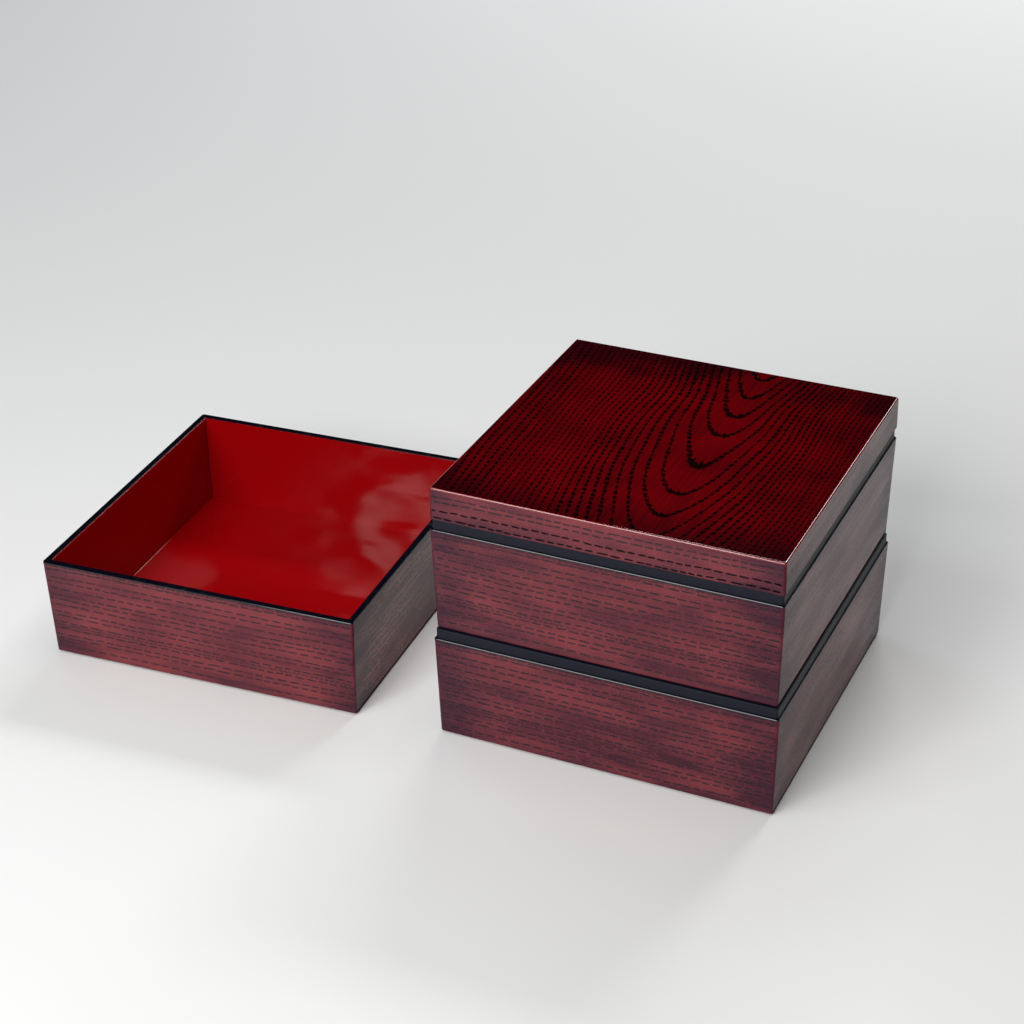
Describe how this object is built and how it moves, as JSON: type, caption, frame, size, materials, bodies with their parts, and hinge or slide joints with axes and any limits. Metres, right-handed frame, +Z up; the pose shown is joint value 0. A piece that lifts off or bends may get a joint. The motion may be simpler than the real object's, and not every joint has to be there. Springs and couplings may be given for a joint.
{
  "type": "bento lunch box",
  "caption": "Square stacking food box with grained red walls, black rims, black inner lids and a flat outer lid, one open tier standing beside the stack.",
  "frame": {"origin": "on the table, at the middle of the box around the whole set", "axes": "+Z up out of the table, +X from the open loose tier towards the stack, +Y to the back"},
  "size_m": [0.3446, 0.1626, 0.119],
  "materials": {
    "grain_red": "gloss clear coat over dark red with a black printed wood grain",
    "red_gloss": "high-gloss vermilion lacquer look",
    "rim_black": "gloss black",
    "base_black": "gloss black",
    "inner_lid_black": "satin blue-black",
    "seal_grey": "soft translucent silicone"
  },
  "bodies": {
    "lower_tier": {"lower_shell": "grain_red", "lower_liner": "red_gloss", "lower_rim": "rim_black", "lower_base": "base_black"},
    "lower_inner_lid": {"lower_inner_lid": "inner_lid_black", "lower_seal": "seal_grey"},
    "upper_tier": {"upper_shell": "grain_red", "upper_liner": "red_gloss", "upper_rim": "rim_black", "upper_base": "base_black"},
    "upper_inner_lid": {"upper_inner_lid": "inner_lid_black", "upper_seal": "seal_grey"},
    "outer_lid": {"lid_shell": "grain_red", "lid_liner": "red_gloss"},
    "loose_tier": {"loose_shell": "grain_red", "loose_liner": "red_gloss", "loose_rim": "rim_black", "loose_base": "base_black"}
  },
  "joints": [
    {"name": "lower_inner_lid_lift", "type": "slide", "parent": "lower_tier", "child": "lower_inner_lid", "axis": [0, 0, 1], "range_m": [0, 0.05]},
    {"name": "upper_tier_lift", "type": "slide", "parent": "lower_inner_lid", "child": "upper_tier", "axis": [0, 0, 1], "range_m": [0, 0.06]},
    {"name": "upper_inner_lid_lift", "type": "slide", "parent": "upper_tier", "child": "upper_inner_lid", "axis": [0, 0, 1], "range_m": [0, 0.05]},
    {"name": "outer_lid_lift", "type": "slide", "parent": "upper_inner_lid", "child": "outer_lid", "axis": [0, 0, 1], "range_m": [0, 0.06]},
    {"name": "loose_tier_lift", "type": "slide", "parent": "lower_tier", "child": "loose_tier", "axis": [0, 0, 1], "range_m": [0, 0.06]}
  ]
}
